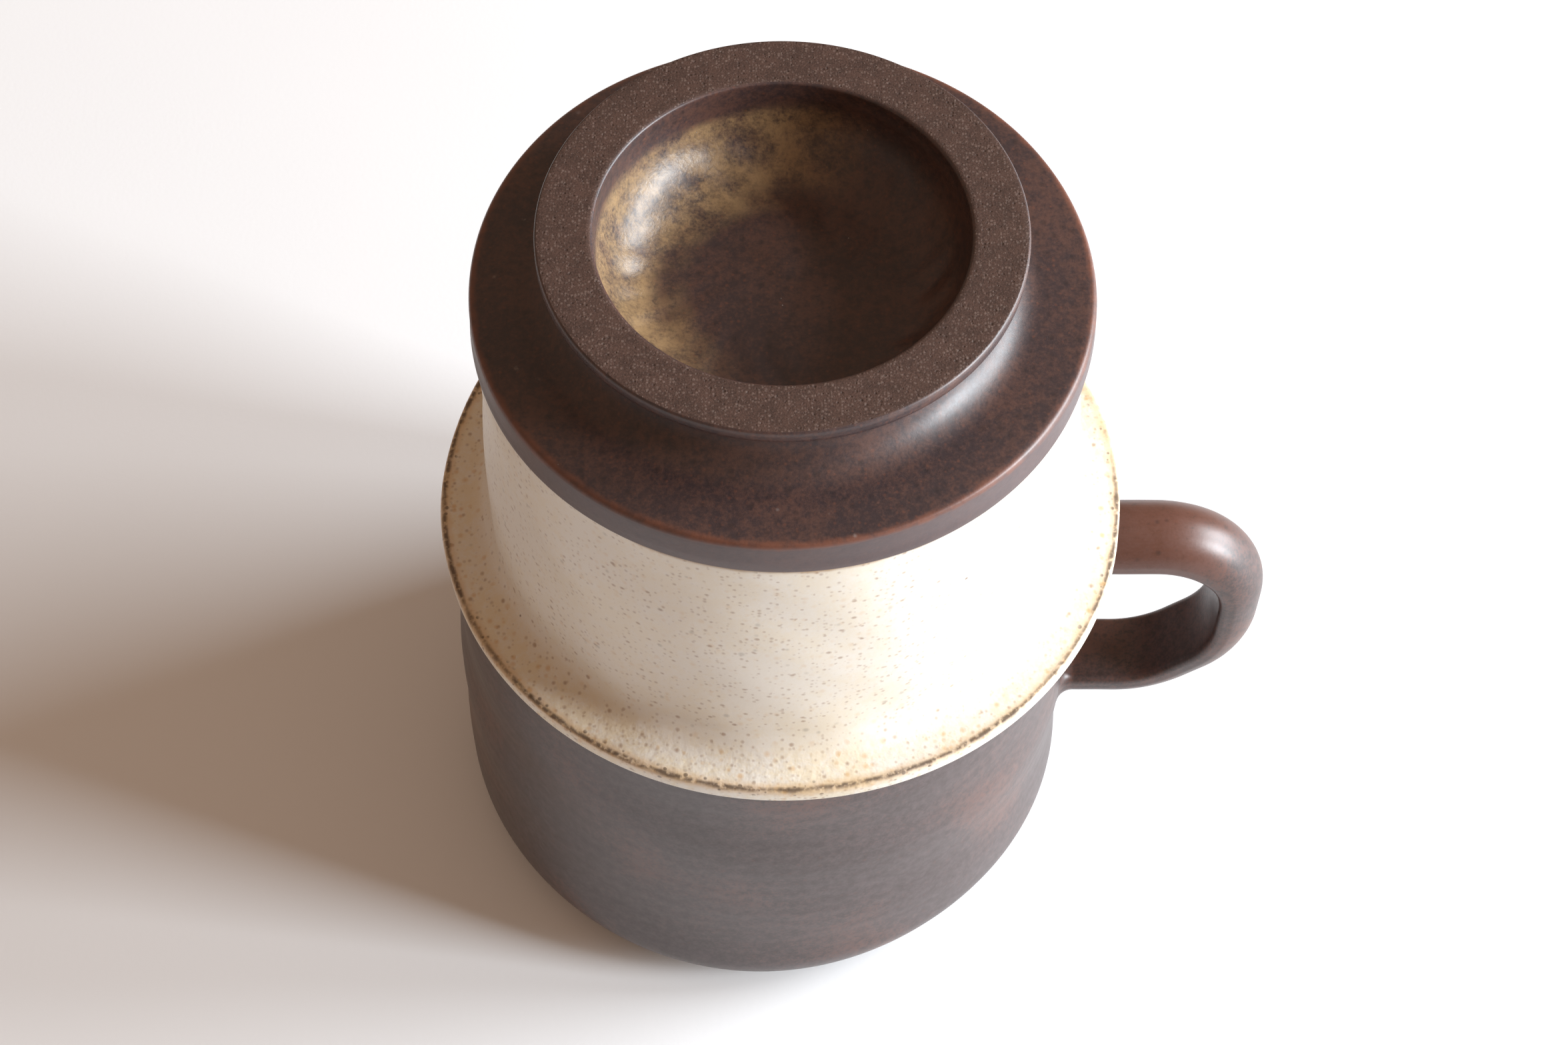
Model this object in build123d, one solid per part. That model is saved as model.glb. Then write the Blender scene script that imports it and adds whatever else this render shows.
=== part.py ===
from build123d import *
import os

# Stoneware pour-over coffee set: a mug with a strap handle, a dripper whose flange rests on
# the mug's lip, and a lid that turns over to be a saucer. Millimetres, +Z up. The origin is
# the centre of the mug's foot on the table, and the handle points along +X. The dripper and
# its lid stand a little off the mug's axis, within the play of the ring that locates them.

# ---- Mug ----
mug_height = 69.0
mug_belly_radius = 47.2
mug_taper = 1.3
mug_belly_height = 30.0
mug_belly_rounding = 600.0
mug_wall = 4.0
mug_floor = 4.6
mug_corner = 9.0
mug_inner_corner = 7.0
mug_lip_rounding = 1.5
foot_inset = 1.6
foot_width = 4.0
foot_height = 1.4
foot_rounding = 0.4

# ---- Strap handle, luted to the mug's wall ----
handle_width = 12.0
handle_thickness = 7.0
handle_shoulder_drop = 1.1
handle_inner_rounding = 1.2
handle_outer_rounding = 1.8
handle_reach = 27.3
handle_below_lip = 1.0
handle_loop_height = 38.0
handle_chin_rise = 12.0
handle_chin_inset = 11.5
handle_top_bend = 14.0
handle_back_bend = 16.0
handle_chin_bend = 15.0
handle_root_fillet = 2.6
handle_root_sink = 2.4
handle_luting_gap = 0.02

# ---- Dripper collar: wall, flange and the ring that locates it in the mug ----
flange_overhang = 4.1
flange_tread = 7.2
flange_edge_height = 2.6
flange_slope_rise = 0.6
flange_edge_rounding = 0.5
collar_height = 48.0
collar_taper = 1.3
collar_cove = 4.5
collar_wall = 3.5
collar_lip_rounding = 1.1
ring_play = 0.5
ring_wall = 2.5
ring_drop = 4.0
ring_shoulder = 3.0
ring_rounding = 0.8
mouth_lip_width = 3.0
mouth_lip_height = 4.5
mouth_lip_rounding = 0.9
dripper_offset = 2.7

# ---- Dripper funnel: a wedge with ribs and drain holes, luted under the mouth's lip ----
funnel_wall = 3.0
funnel_floor = 3.0
funnel_band = 4.0
funnel_below_seat = 14.0
slot_half_length = 17.0
slot_half_width = 5.0
wedge_side_angle = 50.0
rib_height = 1.2
rib_width = 1.6
rib_pitch = 6.0
rib_count = 7
rib_foot = 4.0
rib_head = 9.0
drain_radius = 2.0
drain_pitch = 10.5
drain_count = 3

# ---- Paper filter ----
paper_thickness = 0.4
paper_clearance = 0.3

# ---- Lid, which is also the saucer ----
lid_overhang = 0.8
lid_band_height = 6.0
lid_band_taper = 0.15
lid_band_rounding = 0.8
lid_top_rise = 1.1
lid_height = 17.7
lid_dish = 2.2
lid_dish_inset = 7.0
lid_dish_rounding = 9.0
skirt_clearance = 0.8
skirt_wall = 3.0
skirt_drop = 2.5
skirt_rounding = 0.8
lid_shoulder = 9.65
ring_foot_width = 7.7
ring_foot_edge = 2.2
ring_foot_rounding = 0.35
neck_inset = 3.35
neck_cavetto = 6.0
neck_undercut = 2.6
lid_floor = 3.0
recess_rounding = 9.8
recess_lip_rounding = 0.5

# ---- Heights and radii that follow from the sizes above ----
mug_rim_radius = mug_belly_radius - mug_taper
flange_radius = mug_rim_radius + flange_overhang
collar_foot_radius = flange_radius - flange_tread
collar_top_radius = collar_foot_radius - collar_taper
lid_radius = collar_top_radius + lid_overhang
ring_foot_radius = lid_radius - lid_shoulder
seat_z = mug_height
rim_z = seat_z + collar_height
ring_radius = mug_rim_radius - mug_wall - dripper_offset - ring_play
bore_radius = collar_top_radius - collar_wall
mouth_radius = bore_radius - mouth_lip_width
funnel_top_z = rim_z - mouth_lip_height
wedge_top_z = funnel_top_z - funnel_band
funnel_bottom_z = seat_z - funnel_below_seat
funnel_floor_z = funnel_bottom_z + funnel_floor


def turned(corners):
    """Turn a closed half-outline round +Z. Each corner is (radius, height, rounding)."""
    points = [(r, z) for r, z, _ in corners]
    roundings = [rounding for _, _, rounding in corners]
    outline = FilletPolyline(*points, radius=roundings, close=True)
    return revolve(Plane.XZ * make_face(outline), Axis.Z, 360)


def mug_outside(grown=0):
    """The corners of the mug's outer surface, from the foot up to the lip, grown outwards."""
    foot_radius = mug_belly_radius - mug_corner - foot_inset
    return [
        (foot_radius - foot_width, foot_height, foot_rounding),
        (foot_radius - foot_width, 0, foot_rounding),
        (foot_radius + grown, 0, foot_rounding),
        (foot_radius + grown, foot_height, foot_rounding),
        (mug_belly_radius + grown, foot_height, mug_corner),
        (mug_belly_radius + grown, mug_belly_height, mug_belly_rounding),
        (mug_rim_radius + grown, mug_height, mug_lip_rounding),
    ]


def solid_mug(grown=0):
    """The mug as if it were filled, for joining the handle to and trimming it."""
    return turned([(0, foot_height, 0)] + mug_outside(grown) + [(0, mug_height, 0)])


def make_mug_body():
    floor_z = foot_height + mug_floor
    inside = [
        (mug_rim_radius - mug_wall, mug_height, mug_lip_rounding),
        (mug_belly_radius - mug_wall, mug_belly_height, mug_belly_rounding),
        (mug_belly_radius - mug_wall, floor_z, mug_inner_corner),
        (0, floor_z, 0),
    ]
    return turned([(0, foot_height, 0)] + mug_outside() + inside)


def make_mug_handle():
    """A strap with a crowned back and a flatter inside, flared where it meets the mug."""
    top_z = mug_height - handle_below_lip - handle_root_fillet - handle_thickness / 2
    low_z = top_z - handle_loop_height
    back_x = mug_rim_radius + handle_reach
    root_x = mug_rim_radius - handle_root_sink
    path = Plane.XZ * FilletPolyline(
        (root_x, top_z),
        (back_x, top_z),
        (back_x, low_z + handle_chin_rise),
        (back_x - handle_chin_inset, low_z),
        (root_x, low_z),
        radius=[handle_top_bend, handle_back_bend, handle_chin_bend],
    )
    half_width = handle_width / 2
    inner = -handle_thickness / 2
    shoulder = -handle_shoulder_drop
    crown = ThreePointArc((-half_width, shoulder), (0, handle_thickness / 2), (half_width, shoulder))
    sides = Polyline(
        (half_width, shoulder), (half_width, inner), (-half_width, inner), (-half_width, shoulder)
    )
    section = make_face([crown, sides])
    section = fillet(section.vertices().group_by(Axis.Y)[0], handle_inner_rounding)
    section = fillet(section.vertices().group_by(Axis.Y)[-1], handle_outer_rounding)
    start = Plane(origin=(root_x, 0, top_z), x_dir=(0, 1, 0), z_dir=(1, 0, 0))
    strap = sweep(start * section, path=path)
    mug = solid_mug()
    joined = mug + strap
    old_edges = mug.edges() + strap.edges()
    seams = [e for e in joined.edges() if is_new_edge(e, old_edges) and (e @ 0.5).X > 0]
    joined = fillet(seams, handle_root_fillet)
    return joined - solid_mug(handle_luting_gap)


def is_new_edge(edge, old_edges):
    """Whether an edge of a fused solid is a seam that neither piece had."""
    middle = edge @ 0.5
    return all(old.distance_to(middle) > 0.01 for old in old_edges)


def make_dripper_collar():
    flange_top = seat_z + flange_edge_height + flange_slope_rise
    return turned(
        [
            (ring_radius - ring_wall, seat_z - ring_drop, ring_rounding),
            (ring_radius, seat_z - ring_drop, ring_rounding),
            (ring_radius, seat_z, 0),
            (flange_radius, seat_z, flange_edge_rounding),
            (flange_radius, seat_z + flange_edge_height, flange_edge_rounding),
            (collar_foot_radius, flange_top, collar_cove),
            (collar_top_radius, rim_z, collar_lip_rounding),
            (mouth_radius, rim_z, mouth_lip_rounding),
            (mouth_radius, funnel_top_z, 0),
            (bore_radius, funnel_top_z, 0),
            (bore_radius, seat_z + ring_shoulder, ring_rounding),
            (ring_radius - ring_wall, seat_z, ring_rounding),
        ]
    )


def wedge_outline(radius, z):
    """A circle as four arcs: two ends facing +-X and two sides facing +-Y."""
    ends = 180 - 2 * wedge_side_angle
    starts = [-ends / 2, ends / 2, 180 - ends / 2, 180 + ends / 2]
    sweeps = [ends, 180 - ends, ends, 180 - ends]
    arcs = [CenterArc((0, 0), radius, a, s) for a, s in zip(starts, sweeps)]
    return Pos(0, 0, z) * Wire(arcs)


def slot_outline(half_length, half_width, z):
    """A slot along X as two end arcs and two straight sides, in the same order."""
    x = half_length - half_width
    edges = [
        CenterArc((x, 0), half_width, -90, 180),
        Line((x, half_width), (-x, half_width)),
        CenterArc((-x, 0), half_width, 90, 180),
        Line((-x, -half_width), (x, -half_width)),
    ]
    return Pos(0, 0, z) * Wire(edges)


def wedge(inset, top_z, bottom_z):
    """The funnel's inside from its round mouth to its slot, drawn in from the wall by inset."""
    top = wedge_outline(mouth_radius - inset, top_z)
    bottom = slot_outline(slot_half_length - inset, slot_half_width - inset, bottom_z)
    return Solid.make_loft([bottom, top], ruled=True)


def make_dripper_funnel():
    band = Pos(0, 0, wedge_top_z) * Cylinder(
        bore_radius, funnel_band, align=(Align.CENTER, Align.CENTER, Align.MIN)
    )
    mouth = Pos(0, 0, wedge_top_z) * Cylinder(
        mouth_radius, funnel_band, align=(Align.CENTER, Align.CENTER, Align.MIN)
    )
    outside = wedge(-funnel_wall, wedge_top_z, funnel_bottom_z) + band
    rib_low_z = funnel_floor_z + rib_foot
    rib_length = wedge_top_z - rib_head - rib_low_z
    first_x = -rib_pitch * (rib_count - 1) / 2
    channels = wedge(0, wedge_top_z, funnel_floor_z)
    for i in range(rib_count):
        plate = Box(
            rib_width,
            2 * mouth_radius,
            rib_length,
            align=(Align.CENTER, Align.CENTER, Align.MIN),
        )
        channels = channels - Pos(first_x + i * rib_pitch, 0, rib_low_z) * plate
    clear = wedge(rib_height, wedge_top_z, funnel_floor_z)
    funnel = outside - channels - clear - mouth
    first_drain = -drain_pitch * (drain_count - 1) / 2
    for i in range(drain_count):
        drain = Cylinder(drain_radius, 4 * funnel_floor)
        funnel = funnel - Pos(first_drain + i * drain_pitch, 0, funnel_bottom_z) * drain
    return funnel


def make_paper_filter():
    """A folded wedge of paper standing on the funnel's floor and leaning on its ribs."""
    outer = rib_height + paper_clearance
    foot_z = funnel_floor_z + paper_clearance
    outside = wedge(outer, wedge_top_z, foot_z)
    inside = wedge(outer + paper_thickness, wedge_top_z, foot_z + paper_thickness)
    return outside - inside


def make_lid():
    """A disc with a broad foot ring on a drawn-in neck and a locating skirt below."""
    skirt_radius = mouth_radius - skirt_clearance
    top_z = rim_z + lid_height
    recess_z = rim_z + lid_dish + lid_floor
    edge_z = rim_z + lid_band_height
    neck_z = edge_z + lid_top_rise
    neck_radius = ring_foot_radius - neck_inset
    recess_radius = ring_foot_radius - ring_foot_width
    return turned(
        [
            (0, rim_z + lid_dish, 0),
            (skirt_radius - skirt_wall - lid_dish_inset, rim_z + lid_dish, lid_dish_rounding),
            (skirt_radius - skirt_wall, rim_z - skirt_drop, skirt_rounding),
            (skirt_radius, rim_z - skirt_drop, skirt_rounding),
            (skirt_radius, rim_z, 0),
            (lid_radius, rim_z, ring_foot_rounding),
            (lid_radius - lid_band_taper, edge_z, lid_band_rounding),
            (neck_radius, neck_z, neck_cavetto),
            (neck_radius, top_z - ring_foot_edge, neck_undercut),
            (ring_foot_radius, top_z - ring_foot_edge, ring_foot_rounding),
            (ring_foot_radius, top_z, ring_foot_rounding),
            (recess_radius, top_z, recess_lip_rounding),
            (recess_radius, recess_z, recess_rounding),
            (0, recess_z, 0),
        ]
    )


pieces = {
    "mug_body": make_mug_body(),
    "mug_handle": make_mug_handle(),
    "dripper_collar": make_dripper_collar(),
    "dripper_funnel": make_dripper_funnel(),
    "paper_filter": make_paper_filter(),
    "lid": make_lid(),
}
for name in ["dripper_collar", "dripper_funnel", "paper_filter", "lid"]:
    pieces[name] = Pos(dripper_offset, 0, 0) * pieces[name]

os.makedirs("parts", exist_ok=True)
for name, solid in pieces.items():
    export_step(solid, f"parts/{name}.step")
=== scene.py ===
from math import ceil, cos, hypot, pi, radians, sin, tan

import bmesh
import bpy
import numpy as np
from bpy.props import FloatProperty, FloatVectorProperty, IntProperty, PointerProperty
from bpy.types import Operator, Panel, PropertyGroup
from mathutils import Matrix, Vector
from mathutils.bvhtree import BVHTree


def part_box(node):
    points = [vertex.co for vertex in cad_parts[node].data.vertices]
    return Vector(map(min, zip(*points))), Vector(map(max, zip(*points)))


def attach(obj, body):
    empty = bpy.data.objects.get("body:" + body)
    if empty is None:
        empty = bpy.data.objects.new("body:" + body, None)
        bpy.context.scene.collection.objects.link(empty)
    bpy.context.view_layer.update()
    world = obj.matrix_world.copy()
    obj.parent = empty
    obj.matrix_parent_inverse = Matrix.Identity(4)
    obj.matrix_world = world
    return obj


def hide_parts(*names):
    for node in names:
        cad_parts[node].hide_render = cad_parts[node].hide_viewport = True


# The finished look of a stoneware pour-over set: mug, strap handle, dripper, paper and lid.
# Everything is in metres in the CAD frame: +Z up, the origin at the centre of the mug's foot,
# and the handle along +X. Shader maths is in millimetres.

bl_info = {
    "name": "Stoneware Pour-Over Set",
    "version": (1, 0, 0),
    "blender": (4, 5, 0),
    "location": "3D View > Sidebar > Pour-Over",
    "description": "Throws, glazes and lights a stoneware mug, dripper and lid",
    "category": "Object",
}

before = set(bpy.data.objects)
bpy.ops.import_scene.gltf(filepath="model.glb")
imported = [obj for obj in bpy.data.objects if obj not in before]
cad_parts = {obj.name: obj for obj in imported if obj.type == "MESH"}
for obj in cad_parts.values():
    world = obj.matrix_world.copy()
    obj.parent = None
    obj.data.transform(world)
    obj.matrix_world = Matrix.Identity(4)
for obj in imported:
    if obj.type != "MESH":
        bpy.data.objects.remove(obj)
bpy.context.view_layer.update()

MM = 0.001
CUT_ANGLE = radians(17.3)


def middle(node):
    """The point on a turned CAD piece's axis at the height of the table."""
    low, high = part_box(node)
    return Vector(((low.x + high.x) / 2, (low.y + high.y) / 2, 0))


MUG_AXIS = middle("mug_body")
DRIPPER_AXIS = middle("dripper_collar")
SEAT_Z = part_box("mug_body")[1].z
TOP_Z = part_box("lid")[1].z
FLANGE_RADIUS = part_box("dripper_collar")[1].x - DRIPPER_AXIS.x
LID_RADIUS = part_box("lid")[1].x - DRIPPER_AXIS.x
RIM_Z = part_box("dripper_collar")[1].z

# The lid's sizes that its glaze follows, in millimetres.
LID_BAND = 5.75
RECESS_RADIUS = 24.9
RECESS_DEPTH = 12.5
RING_INSIDE = 25.3
RING_OUTSIDE = 32.3


def tone(red, green, blue):
    """A linear colour from the 0 to 255 values that a colour picker shows."""
    shares = [value / 255 for value in (red, green, blue)]
    return tuple(s / 12.92 if s <= 0.04045 else ((s + 0.055) / 1.055) ** 2.4 for s in shares)


def colour(name, description, default):
    return FloatVectorProperty(
        name=name, description=description, default=default, subtype="COLOR", min=0, max=1
    )


def length(name, description, default):
    return FloatProperty(
        name=name, description=description, default=default, min=0, subtype="DISTANCE", unit="LENGTH"
    )


def bearing(name, description, degrees):
    return FloatProperty(name=name, description=description, default=radians(degrees), subtype="ANGLE")


def power(name, description, default):
    return FloatProperty(name=name, description=description, default=default, min=0, unit="POWER")


# ---- Sizes and colours that a user would change ----


class ClayLooks(PropertyGroup):
    """The bare clay and the hand of the maker."""

    clay: colour("Bare clay", "Fired clay where no glaze covers it", tone(128, 96, 74))
    washed_clay: colour("Washed clay", "Bare clay under a thin iron wash", tone(85, 62, 53))
    grit: colour("Grit", "Pale grains in the bare clay", tone(138, 118, 108))
    unevenness: length("Unevenness", "How far a thrown wall strays from true", 0.00016)
    segments: IntProperty(name="Segments", description="Steps round a turned piece", default=288, min=48)
    step: length("Outline step", "Longest step along a turned piece's outline", 0.0008)


class MugLooks(PropertyGroup):
    """The brown satin glaze of the mug and its handle."""

    glaze: colour("Glaze", "Brown satin glaze", tone(54, 40, 37))
    haze: colour("Haze", "Purple-grey bloom where the glaze lies thick", tone(80, 67, 67))
    rust: colour("Rust", "Where iron shows through thin glaze", tone(96, 55, 38))
    ring_spacing: length("Ring spacing", "Pitch of the throwing rings", 0.0036)
    ring_depth: length("Ring depth", "Depth of the throwing rings", 0.000012)


class DripperLooks(PropertyGroup):
    """The oatmeal glaze of the dripper."""

    glaze: colour("Glaze", "Oatmeal glaze", tone(219, 212, 201))
    warm: colour("Warm cloud", "Warmer clouds in the oatmeal glaze", tone(216, 198, 162))
    speck: colour("Speck", "Iron specks", tone(128, 84, 48))
    ochre: colour("Ochre", "Soft ochre spots", tone(196, 152, 92))
    burnt: colour("Burnt edge", "Where the glaze breaks over a sharp edge", tone(62, 42, 26))
    amber: colour("Amber rim", "Thin glaze on the mouth's rim", tone(150, 108, 58))


class LidLooks(PropertyGroup):
    """The red-brown glaze of the lid, and the golden ochre in its recess: partly the glaze's own colour,
    partly a painted sheen of the window light on the lit wall.
    """

    glaze: colour("Glaze", "Dark brown glaze", tone(52, 39, 40))
    rust: colour("Rust", "Red-brown mottling", tone(96, 64, 52))
    rim: colour("Rim", "Orange-brown where the glaze breaks over the edge", tone(116, 68, 48))
    band: colour("Band", "Purple-grey of the upright band", tone(82, 66, 66))
    # Ochre of the recess glaze, which also serves as the painted sheen of the window light on the lit recess
    # wall.
    gold_and_sheen: colour("Gold", "Ochre glaze pooled in the recess", tone(166, 136, 96))
    lumps: length("Lumps", "Height of the glaze's lumps in the recess", 0.00006)


class PaperLooks(PropertyGroup):
    """The creped filter paper."""

    paper: colour("Paper", "Unbleached creped paper", tone(196, 166, 126))
    fibre: colour("Fibre", "Darker fibres", tone(150, 118, 82))
    thickness: length("Thickness", "Thickness of the paper", 0.00025)
    seam_width: length("Seam width", "Width of the crimped side seam", 0.005)
    crimp: length("Crimp", "Height of the seam's crimped ridges", 0.00018)
    droop: length("Droop", "How much the mouth's edge waves up and down", 0.0007)


class StudioLooks(PropertyGroup):
    """The table, the window light and the camera."""

    table: colour("Table", "Plain pale table", tone(242, 243, 244))
    sky: colour("Window colour", "Cool light of the window", (0.88, 0.945, 1.0))
    window_away: length("Window distance", "From the set to the window's panes", 1.6)
    near_power: power("Near pane power", "Power of the narrow pane", 38.0)
    near_round: bearing("Near pane direction", "Turn from +X towards the camera", 15.3)
    near_up: bearing("Near pane rise", "Angle above the table", 19.9)
    near_width: length("Near pane width", "Width of the narrow pane", 0.36)
    near_height: length("Near pane height", "Height of the narrow pane", 0.68)
    far_power: power("Far pane power", "Power of the broad pane", 35.5)
    far_round: bearing("Far pane direction", "Turn from +X towards the camera", -11.2)
    far_up: bearing("Far pane rise", "Angle above the table", 23.8)
    far_width: length("Far pane width", "Width of the broad pane", 0.70)
    far_height: length("Far pane height", "Height of the broad pane", 0.80)
    fill: colour("Fill colour", "Warm light from the room", (1.0, 0.69, 0.5))
    fill_power: FloatProperty(
        name="Fill power", description="Strength of the room light", default=0.36, min=0
    )
    camera_back: length("Camera back", "How far the camera stands in front of the set's axis", 0.263)
    camera_up: length("Camera up", "How far the camera stands above the mug's lip", 0.4018)
    camera_tilt: bearing("Camera tilt", "Angle that the camera looks down", 57.14)
    camera_turn: bearing("Camera turn", "Turn of the camera about the vertical", 0.11)
    camera_roll: bearing("Camera roll", "Roll of the camera about its view", 0.44)
    lens: FloatProperty(
        name="Lens", description="Focal length on a 36 mm sensor", default=74.4, min=1, unit="CAMERA"
    )


# ---- Mesh work ----


def cut_outline(node, axis):
    """A turned CAD piece's half-outline, in order, as (radius, height) rows, and if it closes."""
    mesh = bmesh.new()
    mesh.from_mesh(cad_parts[node].data)
    bmesh.ops.remove_doubles(mesh, verts=mesh.verts, dist=1e-6)
    bmesh.ops.translate(mesh, verts=mesh.verts, vec=-axis)
    side = Vector((cos(CUT_ANGLE), sin(CUT_ANGLE), 0))
    across = Vector((-sin(CUT_ANGLE), cos(CUT_ANGLE), 0))
    everything = mesh.verts[:] + mesh.edges[:] + mesh.faces[:]
    bmesh.ops.bisect_plane(
        mesh, geom=everything, plane_co=(0, 0, 0), plane_no=across, clear_inner=True, clear_outer=True
    )
    mesh.verts.index_update()
    spots = {v.index: (v.co.dot(side), v.co.z) for v in mesh.verts}
    neighbours = {}
    ends = []
    for edge in mesh.edges:
        a, b = sorted((v.index for v in edge.verts), key=lambda i: spots[i][0])
        if spots[b][0] <= 1e-6:
            continue
        if spots[a][0] <= 1e-6:
            ends.append((b, spots[a][1]))
            continue
        neighbours.setdefault(a, []).append(b)
        neighbours.setdefault(b, []).append(a)
    mesh.free()
    closed = not ends
    start, low = min(ends, key=lambda end: end[1]) if ends else (next(iter(neighbours)), None)
    chain = [start]
    seen = {start}
    while True:
        ahead = [n for n in neighbours[chain[-1]] if n not in seen]
        if not ahead:
            break
        chain.append(ahead[0])
        seen.add(ahead[0])
    rows = [spots[i] for i in chain]
    if not closed:
        high = max(z for _, z in ends)
        rows = [(0.0, low)] + rows + [(0.0, high)]
    outline = np.array(rows)
    if closed and signed_area(outline) < 0:
        outline = outline[::-1]
    return outline, closed


def signed_area(outline):
    r, z = outline.T
    return 0.5 * np.sum(r * np.roll(z, -1) - np.roll(r, -1) * z)


def even_out(outline, closed, longest, shortest):
    """Divide an outline's long runs and drop its crowded points."""
    points = list(outline) + ([outline[0]] if closed else [])
    rows = [points[0]]
    for ahead in points[1:]:
        behind = rows[-1]
        gap = hypot(*(ahead - behind))
        if gap < shortest:
            continue
        count = ceil(gap / longest)
        rows += [behind + (ahead - behind) * k / count for k in range(1, count + 1)]
    if closed:
        rows.pop()
    return np.array(rows)


class Unevenness:
    """A smooth, seeded unevenness: slow waves that run round a piece and along its outline."""

    def __init__(self, seed, depth, most_lobes, shortest, waves=16):
        draw = np.random.default_rng(seed)
        self.lobes = draw.integers(0, most_lobes + 1, waves)
        self.rates = 2 * pi / draw.uniform(shortest, 4 * shortest, waves)
        self.turns = draw.uniform(0, 2 * pi, waves)
        self.depths = draw.normal(0, 1, waves)
        self.depths *= depth / np.sqrt(np.sum(self.depths**2) / 2)
        self.shortest = shortest

    def __call__(self, angle, run, radius=1.0):
        total = np.zeros(np.broadcast(angle, run).shape)
        for lobes, rate, turn, depth in zip(self.lobes, self.rates, self.turns, self.depths):
            room = ease(2 * pi * radius, 0.6 * lobes * self.shortest, 1.2 * lobes * self.shortest + 1e-9)
            total += depth * room * np.cos(lobes * angle + rate * run + turn)
        return total


def ease(value, start, end):
    """0 before start and 1 after end, smoothly between."""
    share = np.clip((value - start) / (end - start), 0, 1)
    return share * share * (3 - 2 * share)


def new_piece(name, points, faces):
    """A smooth-shaded mesh object, linked to the scene."""
    mesh = bpy.data.meshes.new(name)
    mesh.from_pydata(points, [], faces)
    mesh.validate()
    mesh.polygons.foreach_set("use_smooth", [True] * len(mesh.polygons))
    piece = bpy.data.objects.new(name, mesh)
    bpy.context.scene.collection.objects.link(piece)
    return piece


def turn_piece(name, node, axis, looks, stray):
    """Throw a turned piece again from its CAD outline, straying by stray(angle, run, radius, height)."""
    outline, closed = cut_outline(node, axis)
    outline = even_out(outline, closed, looks.step, looks.step / 6)
    radius, height = outline.T
    if closed:
        along = np.roll(outline, -1, axis=0) - np.roll(outline, 1, axis=0)
    else:
        along = np.gradient(outline, axis=0)
    along /= np.maximum(np.linalg.norm(along, axis=1, keepdims=True), 1e-9)
    out_r, out_z = along[:, 1], -along[:, 0]
    run = np.concatenate([[0], np.cumsum(np.linalg.norm(np.diff(outline, axis=0), axis=1))])
    angle = np.linspace(0, 2 * pi, looks.segments, endpoint=False)[:, None]
    push = stray(angle, run[None], radius[None], height[None]) * ease(radius, 0, 6 * MM)
    r = np.maximum(radius + out_r * push, 0)
    z = height + out_z * push
    points = np.stack([r * np.cos(angle), r * np.sin(angle), z], axis=-1).reshape(-1, 3) + axis
    rows = len(outline)
    spans = rows if closed else rows - 1
    faces = []
    for i in range(looks.segments):
        here, ahead = i * rows, (i + 1) % looks.segments * rows
        for j in range(spans):
            k = (j + 1) % rows
            faces.append((here + j, ahead + j, ahead + k, here + k))
    piece = new_piece(name, points.tolist(), faces)
    weld(piece.data)
    return piece


def weld(mesh):
    """Join the points that a turned piece has on its axis."""
    work = bmesh.new()
    work.from_mesh(mesh)
    bmesh.ops.remove_doubles(work, verts=work.verts, dist=1e-6)
    work.to_mesh(mesh)
    work.free()


def fine_copy(name, node, longest):
    """A copy of a CAD piece whose edges are divided until none is longer than longest."""
    work = bmesh.new()
    work.from_mesh(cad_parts[node].data)
    bmesh.ops.remove_doubles(work, verts=work.verts, dist=1e-6)
    for _ in range(6):
        long_edges = [e for e in work.edges if e.calc_length() > longest]
        if not long_edges:
            break
        bmesh.ops.subdivide_edges(work, edges=long_edges, cuts=1)
        bmesh.ops.triangulate(work, faces=work.faces)
    mesh = bpy.data.meshes.new(name)
    work.to_mesh(mesh)
    work.free()
    mesh.polygons.foreach_set("use_smooth", [True] * len(mesh.polygons))
    piece = bpy.data.objects.new(name, mesh)
    bpy.context.scene.collection.objects.link(piece)
    return piece


def soften(piece, voxel, rounds):
    """Remesh a piece evenly and relax its edges, as a coat of glaze does."""
    remesh = piece.modifiers.new("even", "REMESH")
    remesh.mode = "VOXEL"
    remesh.voxel_size = voxel
    remesh.use_smooth_shade = True
    relax = piece.modifiers.new("relax", "SMOOTH")
    relax.factor = 0.5
    relax.iterations = rounds
    shape = piece.evaluated_get(bpy.context.evaluated_depsgraph_get())
    mesh = bpy.data.meshes.new_from_object(shape)
    piece.modifiers.clear()
    piece.data = mesh
    mesh.polygons.foreach_set("use_smooth", [True] * len(mesh.polygons))


def move_points(piece, shift):
    """Move a mesh's points by shift(points), which takes and returns rows of x, y, z."""
    mesh = piece.data
    flat = np.zeros(len(mesh.vertices) * 3, np.float32)
    mesh.vertices.foreach_get("co", flat)
    points = flat.reshape(-1, 3).astype(float)
    mesh.vertices.foreach_set("co", shift(points).astype(np.float32).ravel())
    mesh.update()


def place_piece(piece, body, node, material):
    """Dress a piece, let it stand for its CAD node and ride with its body."""
    piece.data.materials.clear()
    piece.data.materials.append(material)
    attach(piece, body)
    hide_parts(node)


# ---- Shader work ----


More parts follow.
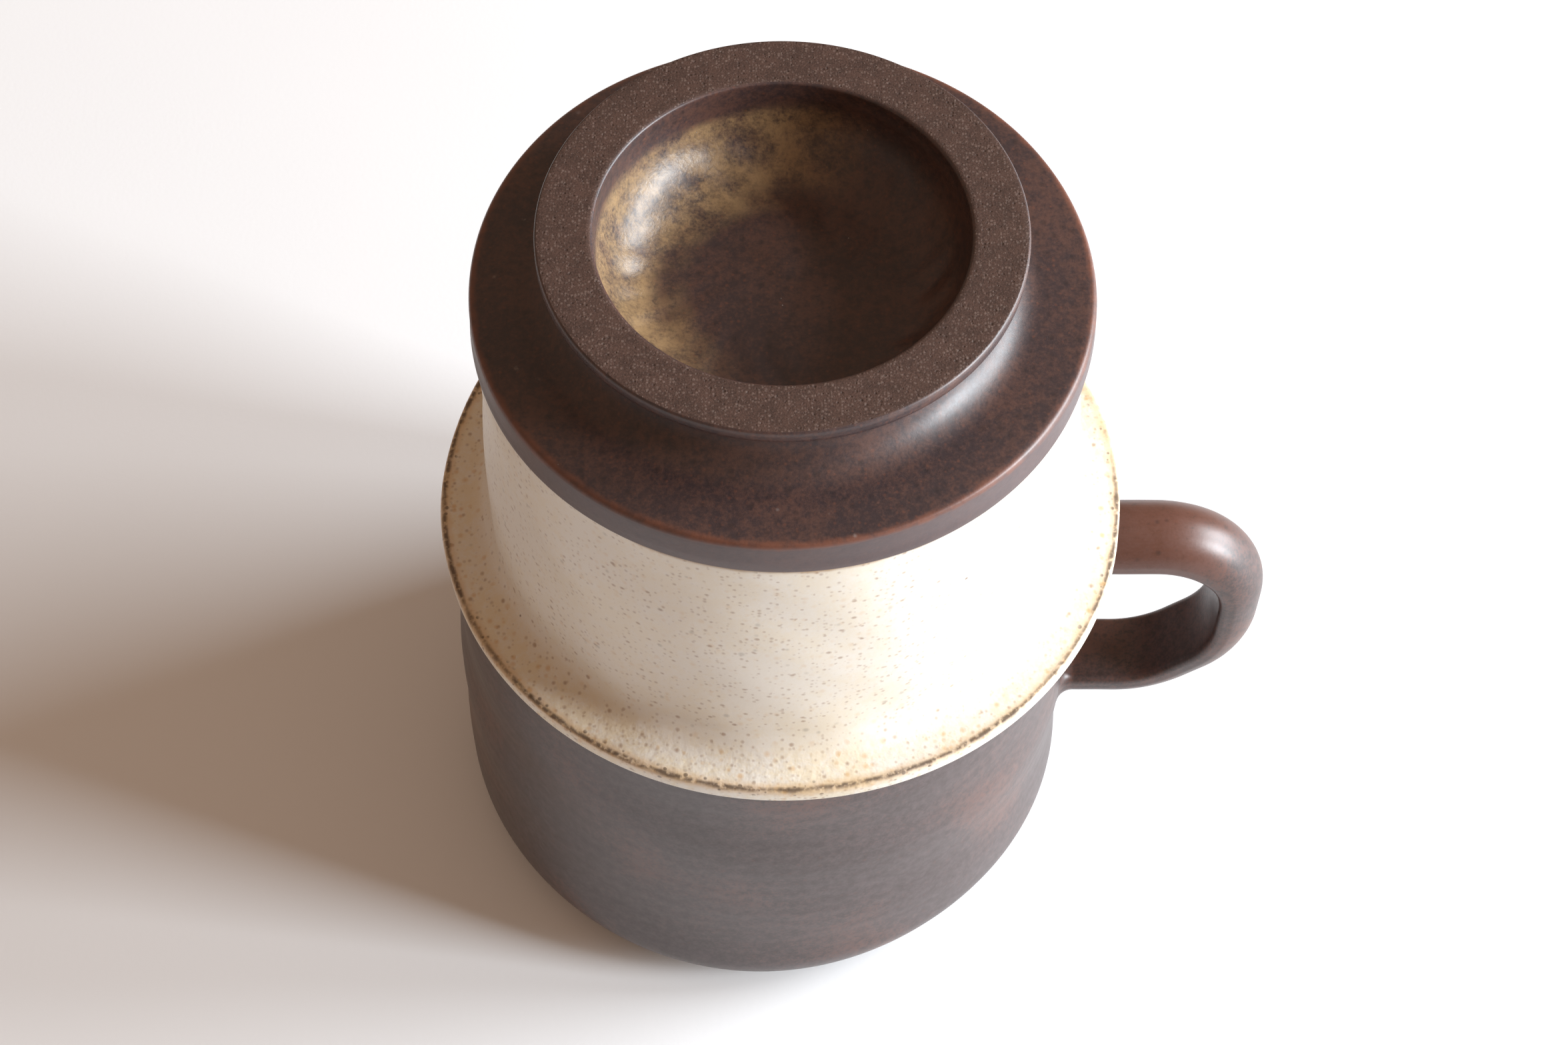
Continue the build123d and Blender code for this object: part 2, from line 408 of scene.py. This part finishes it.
class Shade:
    """A node's output, wrapped so that shader maths is written as ordinary expressions."""

    def __init__(self, tree, output=None):
        self.tree = tree
        self.output = output

    def node(self, kind, settings=None, sockets=None, result=0):
        """Add a node of any kind: its settings first, then its sockets' values or links."""
        added = self.tree.nodes.new(kind)
        for name, value in (settings or {}).items():
            setattr(added, name, value)
        for name, value in (sockets or {}).items():
            if isinstance(value, Shade):
                self.tree.links.new(value.output, added.inputs[name])
            else:
                added.inputs[name].default_value = value
        return Shade(self.tree, added.outputs[result] if len(added.outputs) else None)

    def maths(self, operation, *values, clamp=False):
        settings = {"operation": operation, "use_clamp": clamp}
        return self.node("ShaderNodeMath", settings, dict(enumerate(values)))

    def __add__(self, other):
        return self.maths("ADD", self, other)

    def __radd__(self, other):
        return self.maths("ADD", other, self)

    def __sub__(self, other):
        return self.maths("SUBTRACT", self, other)

    def __rsub__(self, other):
        return self.maths("SUBTRACT", other, self)

    def __mul__(self, other):
        return self.maths("MULTIPLY", self, other)

    def __rmul__(self, other):
        return self.maths("MULTIPLY", other, self)

    def __truediv__(self, other):
        return self.maths("DIVIDE", self, other)

    def __pow__(self, other):
        return self.maths("POWER", self, other)

    def clamped(self):
        return self.maths("ADD", self, 0.0, clamp=True)

    def rise(self, start, end):
        """0 before start and 1 after end, smoothly between."""
        settings = {"interpolation_type": "SMOOTHSTEP"}
        return self.node("ShaderNodeMapRange", settings, {0: self, 1: start, 2: end, 3: 0.0, 4: 1.0})

    def within(self, low, high, soft):
        """1 between low and high, falling to 0 over soft on either side."""
        return self.rise(low - soft, low) * (1 - self.rise(high, high + soft))

    def blend(self, first, second):
        """The first colour where this is 0 and the second where it is 1."""
        return self.node("ShaderNodeMix", {"data_type": "RGBA"}, {0: self, 6: first, 7: second}, 2)


class Finish:
    """A material in the making, whose coordinates are millimetres from a turned piece's axis."""

    def __init__(self, name, axis=(0, 0, 0)):
        self.material = bpy.data.materials.new(name)
        self.material.use_nodes = True
        tree = self.material.node_tree
        tree.nodes.clear()
        self.start = Shade(tree)
        metres = self.start.node("ShaderNodeTexCoord", result="Object")
        centred = self.vector("SUBTRACT", metres, tuple(axis))
        self.place = self.vector("SCALE", centred, Scale=1 / MM)
        self.x, self.y, self.z = (
            self.start.node("ShaderNodeSeparateXYZ", None, {0: self.place}, axis) for axis in range(3)
        )
        self.radius = (self.x * self.x + self.y * self.y) ** 0.5

    def vector(self, operation, *values, **named):
        sockets = dict(enumerate(values)) | named
        return self.start.node("ShaderNodeVectorMath", {"operation": operation}, sockets)

    def offset(self, seed, stretch=(1, 1, 1)):
        """The coordinates shifted by a seed, so that no two textures line up."""
        shifted = self.vector("ADD", self.place, (seed * 37.1, seed * -53.7, seed * 71.9))
        return self.vector("MULTIPLY", shifted, stretch)

    def cloud(self, size, seed, detail=3.0, roughness=0.5, stretch=(1, 1, 1)):
        """Soft noise from 0 to 1 in patches about size millimetres across."""
        sockets = {
            "Vector": self.offset(seed, stretch),
            "Scale": 1 / size,
            "Detail": detail,
            "Roughness": roughness,
        }
        return self.start.node("ShaderNodeTexNoise", {"noise_dimensions": "3D"}, sockets)

    def specks(self, spacing, seed, largest, share, soft, stretch=(1, 1, 1)):
        """Round specks: a share of cells hold one, of up to the largest radius in millimetres."""
        sockets = {"Vector": self.offset(seed, stretch), "Scale": 1 / spacing}
        cell = self.start.node("ShaderNodeTexVoronoi", {"feature": "F1"}, sockets)
        chance_colour = Shade(cell.tree, cell.output.node.outputs["Color"])
        chance = self.start.node("ShaderNodeSeparateColor", None, {0: chance_colour})
        size = (chance - (1 - share)) * (largest / share)
        return ((size - cell * spacing) / soft + 0.5).clamped() * (chance - (1 - share)).rise(0, 0.02)

    def near_corner(self, radius, height, wander, seed):
        """Distance in millimetres from a sharp corner that runs round a turned piece."""
        away = self.cloud(3.0, seed) * wander - wander / 2
        across = self.radius - radius / MM
        up = self.z - height / MM
        return (across * across + up * up) ** 0.5 + away

    def bump(self, relief):
        """A normal from a relief in millimetres."""
        return self.start.node("ShaderNodeBump", None, {"Strength": 1.0, "Distance": MM, "Height": relief})

    def fire(self, base, roughness, relief, coat=0.0, coat_roughness=0.2, ior=1.5):
        """Join the parts to a Principled shader and return the finished material."""
        sockets = {
            "Base Color": base,
            "Roughness": roughness,
            "Normal": self.bump(relief),
            "Coat Weight": coat,
            "Coat Roughness": coat_roughness,
            "IOR": ior,
        }
        shader = self.start.node("ShaderNodeBsdfPrincipled", None, sockets)
        self.start.node("ShaderNodeOutputMaterial", None, {"Surface": shader})
        return self.material


def paint(value):
    """A colour property as a node socket takes it."""
    return (*value, 1.0)


def bare_clay(finish, clay, grit, seed):
    """Base colour and relief of unglazed, grogged stoneware."""
    fine = finish.cloud(0.28, seed, detail=3.0, roughness=0.7)
    coarse = finish.cloud(2.2, seed + 1, detail=3.0)
    grains = finish.specks(0.42, seed + 2, 0.2, 0.7, 0.2)
    holes = finish.specks(0.6, seed + 3, 0.18, 0.6, 0.15)
    base = (fine * 0.7 + coarse * 0.3).rise(0.36, 0.64).blend(paint([0.5 * c for c in clay]), paint(clay))
    base = (grains * 0.36).blend(base, paint(grit))
    base = (holes * 0.5).blend(base, paint([0.3 * c for c in clay]))
    relief = fine * 0.05 + grains * 0.03 - holes * 0.05
    return base, relief


def mug_glaze_finish(name, axis, rusty):
    """Brown satin glaze, with more or less iron showing through."""
    clay = bpy.context.scene.pour_over_clay
    looks = bpy.context.scene.pour_over_mug
    f = Finish(name, axis)
    slow = f.cloud(24.0, 1, detail=2.0)
    patches = f.cloud(1.3, 2, detail=4.0, roughness=0.6)
    fine = f.cloud(0.45, 3, detail=3.0, roughness=0.65)
    mottle = (patches * 0.45 + fine * 0.4 + slow * 0.15).rise(0.36, 0.66)
    base = mottle.blend(paint(looks.glaze), paint(looks.haze))
    thin = (slow * 0.45 + patches * 0.2 + fine * 0.35 + rusty).rise(0.5, 0.66)
    base = (thin * (0.6 + rusty)).blend(base, paint(looks.rust))
    red = f.specks(1.1, 4, 0.34, 0.5, 0.3)
    base = (red * (0.22 + rusty)).blend(base, paint(looks.rust))
    dark = f.specks(1.5, 5, 0.4, 0.5, 0.4)
    base = (dark * (0.22 + rusty * 3.0)).blend(base, paint([0.4 * c for c in looks.glaze]))
    pale = f.specks(4.6, 6, 0.12, 0.25, 0.06)
    base = (pale * 0.45).blend(base, paint([0.4, 0.37, 0.35]))
    pits = f.specks(13.0, 7, 0.36, 0.07, 0.12)
    base = (pits * 0.9).blend(base, paint([0.1 * c for c in looks.glaze]))
    glaze_line = 1.4
    bare = 1 - f.z.rise(glaze_line - 0.5, glaze_line)
    clay_base, clay_relief = bare_clay(f, clay.clay, clay.grit, 8)
    base = bare.blend(base, clay_base)
    roughness = 0.38 + fine * 0.14 - thin * 0.05 + bare * 0.35
    peel = f.cloud(0.8, 12, detail=2.0)
    relief = peel * 0.012 + fine * 0.008 - pits * 0.14 - pale * 0.01 + bare * clay_relief
    return f.fire(base, roughness, relief, coat=0.3 - 0.3 * bare, coat_roughness=0.36)


def oatmeal_finish():
    looks = bpy.context.scene.pour_over_dripper
    f = Finish("oatmeal_glaze", DRIPPER_AXIS)
    seat = SEAT_Z / MM
    flange = FLANGE_RADIUS / MM
    slow = f.cloud(15.0, 21, detail=3.0)
    patches = f.cloud(2.0, 22, detail=4.0, roughness=0.6)
    fine = f.cloud(0.45, 23, detail=3.0, roughness=0.65)
    cove = 4.4
    on_flange = f.radius.rise(flange - cove - 2.4, flange - cove) * f.z.within(seat + 0.5, seat + 7, 1.0)
    warm = (slow * 0.4 + patches * 0.35 + fine * 0.25).rise(0.42, 0.6)
    base = (warm * (0.3 + on_flange * 0.3)).blend(paint(looks.glaze), paint(looks.warm))
    ochre = f.specks(1.25, 24, 0.42, 0.6, 0.4)
    base = (ochre * (0.2 + on_flange * 0.38)).blend(base, paint(looks.ochre))
    dust = f.specks(0.8, 25, 0.26, 0.65, 0.26)
    base = (dust * 0.42).blend(base, paint(looks.speck))
    iron = f.specks(1.6, 26, 0.36, 0.6, 0.3, stretch=(1, 1, 1.3))
    base = (iron * 0.55).blend(base, paint(looks.speck))
    grey = f.specks(2.2, 27, 0.42, 0.45, 0.36)
    base = (grey * 0.34).blend(base, paint(tone(120, 112, 100)))
    dark = f.specks(5.6, 28, 0.3, 0.3, 0.14)
    base = (dark * 0.75).blend(base, paint([0.5 * c for c in looks.speck]))
    edge = f.near_corner(FLANGE_RADIUS - 0.5 * MM, SEAT_Z + 2.62 * MM, 0.8, 29)
    tan_line = 1 - edge.rise(0.2, 1.5)
    base = (tan_line * 0.5).blend(base, paint(looks.ochre))
    burnt = (1 - edge.rise(0.05, 0.6)) * f.cloud(0.9, 30, detail=3.0).rise(0.26, 0.56)
    dots = f.specks(0.95, 31, 0.36, 0.6, 0.16) * (1 - edge.rise(0.5, 1.5))
    burnt = burnt.maths("MAXIMUM", burnt, dots * 0.85)
    base = (burnt * 0.85).blend(base, paint(looks.burnt))
    lip = f.near_corner(LID_RADIUS - 0.9 * MM, RIM_Z - 0.3 * MM, 0.8, 32)
    base = ((1 - lip.rise(0.5, 1.3)) * 0.8).blend(base, paint(looks.amber))
    peel = f.cloud(1.3, 33, detail=2.0)
    relief = peel * (0.02 + on_flange * 0.09) + fine * 0.012 - dark * 0.02 + burnt * 0.03
    roughness = 0.4 + fine * 0.14 + burnt * 0.2 - on_flange * 0.02
    return f.fire(base, roughness, relief, coat=0.3, coat_roughness=0.3)


def lid_finish():
    clay = bpy.context.scene.pour_over_clay
    looks = bpy.context.scene.pour_over_lid
    f = Finish("red_brown_glaze", DRIPPER_AXIS)
    top = TOP_Z / MM
    rim = RIM_Z / MM
    slow = f.cloud(12.0, 41, detail=3.0)
    patches = f.cloud(1.3, 42, detail=4.0, roughness=0.65)
    clots = f.cloud(4.2, 43, detail=3.0, roughness=0.55)
    fine = f.cloud(0.45, 44, detail=3.0, roughness=0.65)
    mottle = (slow * 0.3 + patches * 0.4 + fine * 0.3).rise(0.4, 0.62)
    base = (mottle * 0.6).blend(paint(looks.glaze), paint(looks.rust))
    dark = f.specks(1.2, 45, 0.5, 0.6, 0.5)
    base = (dark * 0.45).blend(base, paint([0.4 * c for c in looks.glaze]))
    red = f.specks(0.8, 46, 0.24, 0.5, 0.2)
    base = (red * 0.3).blend(base, paint(looks.rim))
    edge_radius = LID_RADIUS / MM
    on_side = f.radius.rise(edge_radius - 0.9, edge_radius - 0.35)
    upright = on_side * f.z.within(rim + 0.2, rim + LID_BAND - 0.45, 0.5)
    base = (upright * (0.4 + patches * 0.5)).blend(base, paint(looks.band))
    edge = f.near_corner(LID_RADIUS - 0.5 * MM, RIM_Z + LID_BAND * MM, 1.1, 47)
    break_line = (1 - edge.rise(0.15, 0.95)) * (0.5 + 0.5 * f.cloud(1.2, 48).rise(0.3, 0.6))
    base = (break_line * 0.7).blend(base, paint(looks.rim))
    in_recess = (1 - f.radius.rise(RECESS_RADIUS - 0.5, RECESS_RADIUS))
    in_recess = in_recess * f.z.rise(top - RECESS_DEPTH - 0.5, top - RECESS_DEPTH)
    # Golden glaze painted only on the recess wall that faces the window: partly the glaze's own ochre, partly
    # painted window light and sheen.
    away_from_window = f.x * -0.9 + f.y * 0.44
    lit_wall_side = away_from_window.rise(-4.0, 12.0)
    wall = in_recess * f.radius.rise(11.5, 15.5) * f.z.within(top - 12, top - 3.9, 1.2)
    gold_and_sheen = lit_wall_side * wall * (clots * 0.5 + patches * 0.25 + fine * 0.25 + 0.04).rise(0.36, 0.68)
    base = (gold_and_sheen * 0.8).blend(base, paint(looks.gold_and_sheen))
    rusty = in_recess * f.z.within(top - 3.6, top, 0.8)
    base = (rusty * 0.4).blend(base, paint(looks.rust))
    pale = f.specks(2.9, 49, 0.13, 0.4, 0.08)
    base = (pale * 0.5).blend(base, paint([0.45, 0.42, 0.4]))
    pits = f.specks(6.5, 50, 0.42, 0.16, 0.12) * (0.25 + in_recess * 0.75)
    base = (pits * 0.8).blend(base, paint([0.2 * c for c in looks.glaze]))
    bare = f.z.rise(top - 0.12, top - 0.06) * f.radius.within(RING_INSIDE, RING_OUTSIDE, 0.12)
    clay_base, clay_relief = bare_clay(f, clay.washed_clay, clay.grit, 51)
    base = bare.blend(base, clay_base)
    by_edge = f.radius.rise(35, 37) * f.z.within(rim + LID_BAND - 0.55, rim + LID_BAND + 1.85, 0.6)
    scuffs = f.specks(3.2, 52, 0.5, 0.3, 0.5) * patches.rise(0.45, 0.6) * by_edge
    base = (scuffs * 0.35).blend(base, paint([0.45, 0.42, 0.4]))
    roughness = 0.36 + fine * 0.2 - gold_and_sheen * 0.12 + upright * 0.06
    roughness = roughness + bare * (0.55 - roughness)
    peel = f.cloud(0.7, 55, detail=2.0)
    relief = peel * 0.016 + patches * 0.02 + fine * 0.01
    relief = relief - pits * 0.12 + pale * 0.02 - dark * 0.006 + gold_and_sheen * clots * 0.05
    relief = relief * (1 - bare) + clay_relief * bare
    return f.fire(base, roughness, relief, coat=0.3 - 0.3 * bare, coat_roughness=0.36)


def paper_finish():
    looks = bpy.context.scene.pour_over_paper
    f = Finish("creped_paper", DRIPPER_AXIS)
    crepe = f.cloud(0.5, 61, detail=2.0, stretch=(0.35, 0.35, 2.2))
    fibres = f.cloud(0.9, 62, detail=4.0, roughness=0.7, stretch=(1.6, 1.6, 0.5))
    flecks = f.specks(2.4, 63, 0.25, 0.35, 0.2)
    base = (fibres.rise(0.45, 0.75) * 0.6).blend(paint(looks.paper), paint(looks.fibre))
    base = (flecks * 0.5).blend(base, paint([0.6 * c for c in looks.fibre]))
    return f.fire(base, 0.85 + fibres * 0.1, crepe * 0.06 + fibres * 0.02)


def table_finish():
    looks = bpy.context.scene.pour_over_studio
    f = Finish("pale_table")
    cloud = f.cloud(120.0, 71, detail=2.0)
    fine = f.cloud(0.8, 72, detail=2.0)
    dull = [0.985 * c for c in looks.table]
    base = cloud.rise(0.35, 0.65).blend(paint(looks.table), paint(dull))
    return f.fire(base, 0.5 + fine * 0.1, fine * 0.01)


# ---- One operator for each piece ----


class POUROVER_OT_throw_mug(Operator):
    """Throw and glaze the mug's body"""

    bl_idname = "pour_over.throw_mug"
    bl_label = "Throw Mug"

    def execute(self, context):
        clay = context.scene.pour_over_clay
        looks = context.scene.pour_over_mug
        wall = Unevenness(1, clay.unevenness, 5, 18 * MM)
        wander = Unevenness(2, 0.8, 3, 20 * MM)

        def stray(angle, run, radius, height):
            on_wall = ease(height, 9 * MM, 20 * MM) * (1 - ease(height, SEAT_Z - 6 * MM, SEAT_Z - 2 * MM))
            rings = np.cos(2 * pi * height / looks.ring_spacing + angle + wander(angle, run))
            above_foot = ease(height, 1.5 * MM, 6 * MM) * (1 - ease(height, SEAT_Z - 4 * MM, SEAT_Z - 1 * MM))
            return wall(angle, run) * above_foot + looks.ring_depth * rings * on_wall

        piece = turn_piece("mug_body_thrown", "mug_body", MUG_AXIS, clay, stray)
        glaze = mug_glaze_finish("brown_satin_glaze", MUG_AXIS, 0.0)
        place_piece(piece, "mug", "mug_body", glaze)
        return {"FINISHED"}


class POUROVER_OT_pull_handle(Operator):
    """Pull the strap handle and set it on the mug"""

    bl_idname = "pour_over.pull_handle"
    bl_label = "Pull Handle"

    def execute(self, context):
        piece = fine_copy("mug_handle_pulled", "mug_handle", 1.1 * MM)
        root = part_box("mug_handle")[0].x
        waves = Unevenness(5, 0.05 * MM, 1, 14 * MM)

        def shift(points):
            x, y, z = points.T
            away = ease(x, root + 2 * MM, root + 9 * MM)
            points[:, 1] += away * waves(0.0, x + 0.7 * z)
            points[:, 2] += away * waves(1.3, 0.6 * x - z + y)
            points[:, 0] += away * waves(2.1, z - 0.4 * y)
            return points

        move_points(piece, shift)
        glaze = mug_glaze_finish("rusty_satin_glaze", MUG_AXIS, 0.09)
        place_piece(piece, "mug", "mug_handle", glaze)
        return {"FINISHED"}


class POUROVER_OT_throw_collar(Operator):
    """Throw and glaze the dripper's collar and flange"""

    bl_idname = "pour_over.throw_collar"
    bl_label = "Throw Collar"

    def execute(self, context):
        clay = context.scene.pour_over_clay
        wall = Unevenness(11, clay.unevenness, 6, 16 * MM)
        edge = Unevenness(12, 0.6 * clay.unevenness, 17, 14 * MM)

        def stray(angle, run, radius, height):
            off_seat = ease(height, SEAT_Z + 0.4 * MM, SEAT_Z + 2.4 * MM)
            off_rim = 1 - ease(height, RIM_Z - 3 * MM, RIM_Z - 0.5 * MM)
            outer = ease(radius, 40 * MM, 41 * MM)
            return (wall(angle, run) + edge(angle, run)) * off_seat * off_rim * outer

        piece = turn_piece("dripper_collar_thrown", "dripper_collar", DRIPPER_AXIS, clay, stray)
        place_piece(piece, "dripper", "dripper_collar", oatmeal_finish())
        return {"FINISHED"}


class POUROVER_OT_press_funnel(Operator):
    """Press the ribbed funnel and let the glaze round its edges"""

    bl_idname = "pour_over.press_funnel"
    bl_label = "Press Funnel"

    def execute(self, context):
        piece = fine_copy("dripper_funnel_pressed", "dripper_funnel", 20 * MM)
        soften(piece, 0.55 * MM, 4)
        place_piece(
            piece, "dripper", "dripper_funnel", bpy.data.materials["oatmeal_glaze"]
        )
        return {"FINISHED"}


class POUROVER_OT_fold_paper(Operator):
    """Fold the wedge of filter paper and crimp its seam"""

    bl_idname = "pour_over.fold_paper"
    bl_label = "Fold Paper"

    levels: IntProperty(name="Levels", description="Rings of points up the paper", default=90)
    steps: IntProperty(name="Steps", description="Points in each ring", default=300)

    def execute(self, context):
        looks = context.scene.pour_over_paper
        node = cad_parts["paper_filter"]
        caliper = BVHTree.FromObject(node, context.evaluated_depsgraph_get())
        low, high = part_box("paper_filter")
        inset = looks.thickness
        ripple = Unevenness(21, looks.droop, 6, 30 * MM)
        buckle = Unevenness(22, 0.25 * MM, 9, 26 * MM)
        points, faces = [], []
        for i in range(self.levels):
            share = i / (self.levels - 1)
            z = low.z + inset + (high.z - low.z - 2 * inset) * share
            for k in range(self.steps):
                angle = 2 * pi * k / self.steps
                way = Vector((cos(angle), sin(angle), 0))
                centre = DRIPPER_AXIS + Vector((0, 0, z))
                hit = caliper.ray_cast(centre + way * 0.1, -way)[0]
                radius = (hit - centre).length - inset
                radius -= self.seam(looks, angle, radius, z, share)
                radius -= abs(float(buckle(angle, z))) * share
                sink = (float(ripple(angle, 0.0)) - looks.droop) * share**6
                points.append(centre + way * radius + Vector((0, 0, sink)))
        for i in range(self.levels - 1):
            for k in range(self.steps):
                ahead = (k + 1) % self.steps
                row, above = i * self.steps, (i + 1) * self.steps
                faces.append((row + k, row + ahead, above + ahead, above + k))
        faces.append(tuple(reversed(range(self.steps))))
        piece = new_piece("paper_filter_folded", points, faces)
        wall = piece.modifiers.new("thickness", "SOLIDIFY")
        wall.thickness = looks.thickness
        wall.offset = -1
        shape = piece.evaluated_get(context.evaluated_depsgraph_get())
        mesh = bpy.data.meshes.new_from_object(shape)
        piece.modifiers.clear()
        piece.data = mesh
        place_piece(piece, "dripper", "paper_filter", paper_finish())
        return {"FINISHED"}

    def seam(self, looks, angle, radius, z, share):
        """How far the folded-over, crimped side seam stands in from the paper, in metres."""
        across = abs(radius * sin(angle)) if cos(angle) > 0 else 1.0
        strip = 1 - float(ease(across, looks.seam_width / 2, looks.seam_width / 2 + 0.4 * MM))
        ridges = 0.5 + 0.5 * cos(2 * pi * z / (1.4 * MM))
        return strip * (looks.thickness + looks.crimp * ridges)


class POUROVER_OT_throw_lid(Operator):
    """Throw and glaze the lid, which is also the saucer"""

    bl_idname = "pour_over.throw_lid"
    bl_label = "Throw Lid"

    def execute(self, context):
        clay = context.scene.pour_over_clay
        looks = context.scene.pour_over_lid
        wall = Unevenness(31, 0.7 * clay.unevenness, 5, 14 * MM)
        lumps = Unevenness(32, looks.lumps, 30, 4 * MM, waves=40)

        def stray(angle, run, radius, height):
            off_ring = 1 - ease(height, TOP_Z - 3 * MM, TOP_Z - 1.5 * MM)
            off_rim = ease(height, RIM_Z + 0.5 * MM, RIM_Z + 2 * MM)
            floor_z = TOP_Z - RECESS_DEPTH * MM
            in_recess = (1 - ease(radius, 22 * MM, 24 * MM)) * ease(height, floor_z - 0.5 * MM, floor_z)
            return wall(angle, run) * off_ring * off_rim + lumps(angle, run, radius) * in_recess

        piece = turn_piece("lid_thrown", "lid", DRIPPER_AXIS, clay, stray)
        place_piece(piece, "lid", "lid", lid_finish())
        return {"FINISHED"}


class POUROVER_OT_set_table(Operator):
    """Lay the table, light it from a window and set the camera"""

    bl_idname = "pour_over.set_table"
    bl_label = "Set Table"

    def execute(self, context):
        looks = context.scene.pour_over_studio
        self.lay_table(looks)
        self.hang_windows(context, looks)
        self.light_room(context, looks)
        self.set_camera(context, looks)
        context.scene.view_settings.view_transform = "Standard"
        context.scene.view_settings.look = "None"
        return {"FINISHED"}

    def lay_table(self, looks):
        half = 3.0
        corners = [(-half, -half, 0), (half, -half, 0), (half, half, 0), (-half, half, 0)]
        table = new_piece("table", corners, [(0, 1, 2, 3)])
        table.data.materials.append(table_finish())

    def hang_windows(self, context, looks):
        """A narrow pane nearer to the camera and a broad one beyond it, both low on the +X side."""
        for pane in ("near", "far"):
            power, turn, rise, width, height = (
                getattr(looks, f"{pane}_{part}") for part in ("power", "round", "up", "width", "height")
            )
            way = Vector((cos(rise) * cos(turn), -cos(rise) * sin(turn), sin(rise)))
            lamp = bpy.data.lights.new(f"{pane}_pane", "AREA")
            lamp.shape = "RECTANGLE"
            lamp.size = width
            lamp.size_y = height
            lamp.energy = power
            lamp.color = looks.sky
            window = bpy.data.objects.new(lamp.name, lamp)
            window.location = way * looks.window_away + Vector((0, 0, SEAT_Z / 2))
            window.rotation_euler = way.to_track_quat("Z", "Y").to_euler()
            context.scene.collection.objects.link(window)

    def light_room(self, context, looks):
        world = bpy.data.worlds.new("room")
        world.use_nodes = True
        world.node_tree.nodes.clear()
        start = Shade(world.node_tree)
        glow = start.node(
            "ShaderNodeBackground", None, {"Color": paint(looks.fill), "Strength": looks.fill_power}
        )
        start.node("ShaderNodeOutputWorld", None, {"Surface": glow})
        context.scene.world = world

    def set_camera(self, context, looks):
        lens = bpy.data.cameras.new("camera")
        lens.lens = looks.lens
        lens.sensor_width = 36.0
        lens.clip_start = 0.01
        camera = bpy.data.objects.new("camera", lens)
        turn = Matrix.Rotation(-looks.camera_turn, 4, "Z")
        tilt = Matrix.Rotation(pi / 2 - looks.camera_tilt, 4, "X")
        roll = Matrix.Rotation(looks.camera_roll, 4, "Z")
        place = Matrix.Translation(DRIPPER_AXIS + Vector((0, -looks.camera_back, SEAT_Z + looks.camera_up)))
        camera.matrix_world = place @ turn @ tilt @ roll
        context.scene.collection.objects.link(camera)
        context.scene.camera = camera


class POUROVER_PT_sidebar(Panel):
    """Everything that the set is made with, in order"""

    bl_idname = "POUROVER_PT_sidebar"
    bl_label = "Pour-Over Set"
    bl_space_type = "VIEW_3D"
    bl_region_type = "UI"
    bl_category = "Pour-Over"

    def draw(self, context):
        for group, operators in SECTIONS:
            box = self.layout.box()
            looks = getattr(context.scene, group)
            for name in looks.__annotations__:
                box.prop(looks, name)
            for operator in operators:
                box.operator(operator.bl_idname)


LOOKS = {
    "pour_over_clay": ClayLooks,
    "pour_over_mug": MugLooks,
    "pour_over_dripper": DripperLooks,
    "pour_over_lid": LidLooks,
    "pour_over_paper": PaperLooks,
    "pour_over_studio": StudioLooks,
}
SECTIONS = [
    ("pour_over_clay", []),
    ("pour_over_mug", [POUROVER_OT_throw_mug, POUROVER_OT_pull_handle]),
    ("pour_over_dripper", [POUROVER_OT_throw_collar, POUROVER_OT_press_funnel]),
    ("pour_over_lid", [POUROVER_OT_throw_lid]),
    ("pour_over_paper", [POUROVER_OT_fold_paper]),
    ("pour_over_studio", [POUROVER_OT_set_table]),
]
CLASSES = (
    list(LOOKS.values())
    + [operator for _, operators in SECTIONS for operator in operators]
    + [POUROVER_PT_sidebar]
)


def register():
    for kind in CLASSES:
        bpy.utils.register_class(kind)
    for name, kind in LOOKS.items():
        setattr(bpy.types.Scene, name, PointerProperty(type=kind))


def unregister():
    for name in LOOKS:
        delattr(bpy.types.Scene, name)
    for kind in reversed(CLASSES):
        bpy.utils.unregister_class(kind)


def main():
    register()
    bpy.ops.pour_over.set_table()
    bpy.ops.pour_over.throw_mug()
    bpy.ops.pour_over.pull_handle()
    bpy.ops.pour_over.throw_collar()
    bpy.ops.pour_over.press_funnel()
    bpy.ops.pour_over.fold_paper()
    bpy.ops.pour_over.throw_lid()


if __name__ == "__main__":
    main()
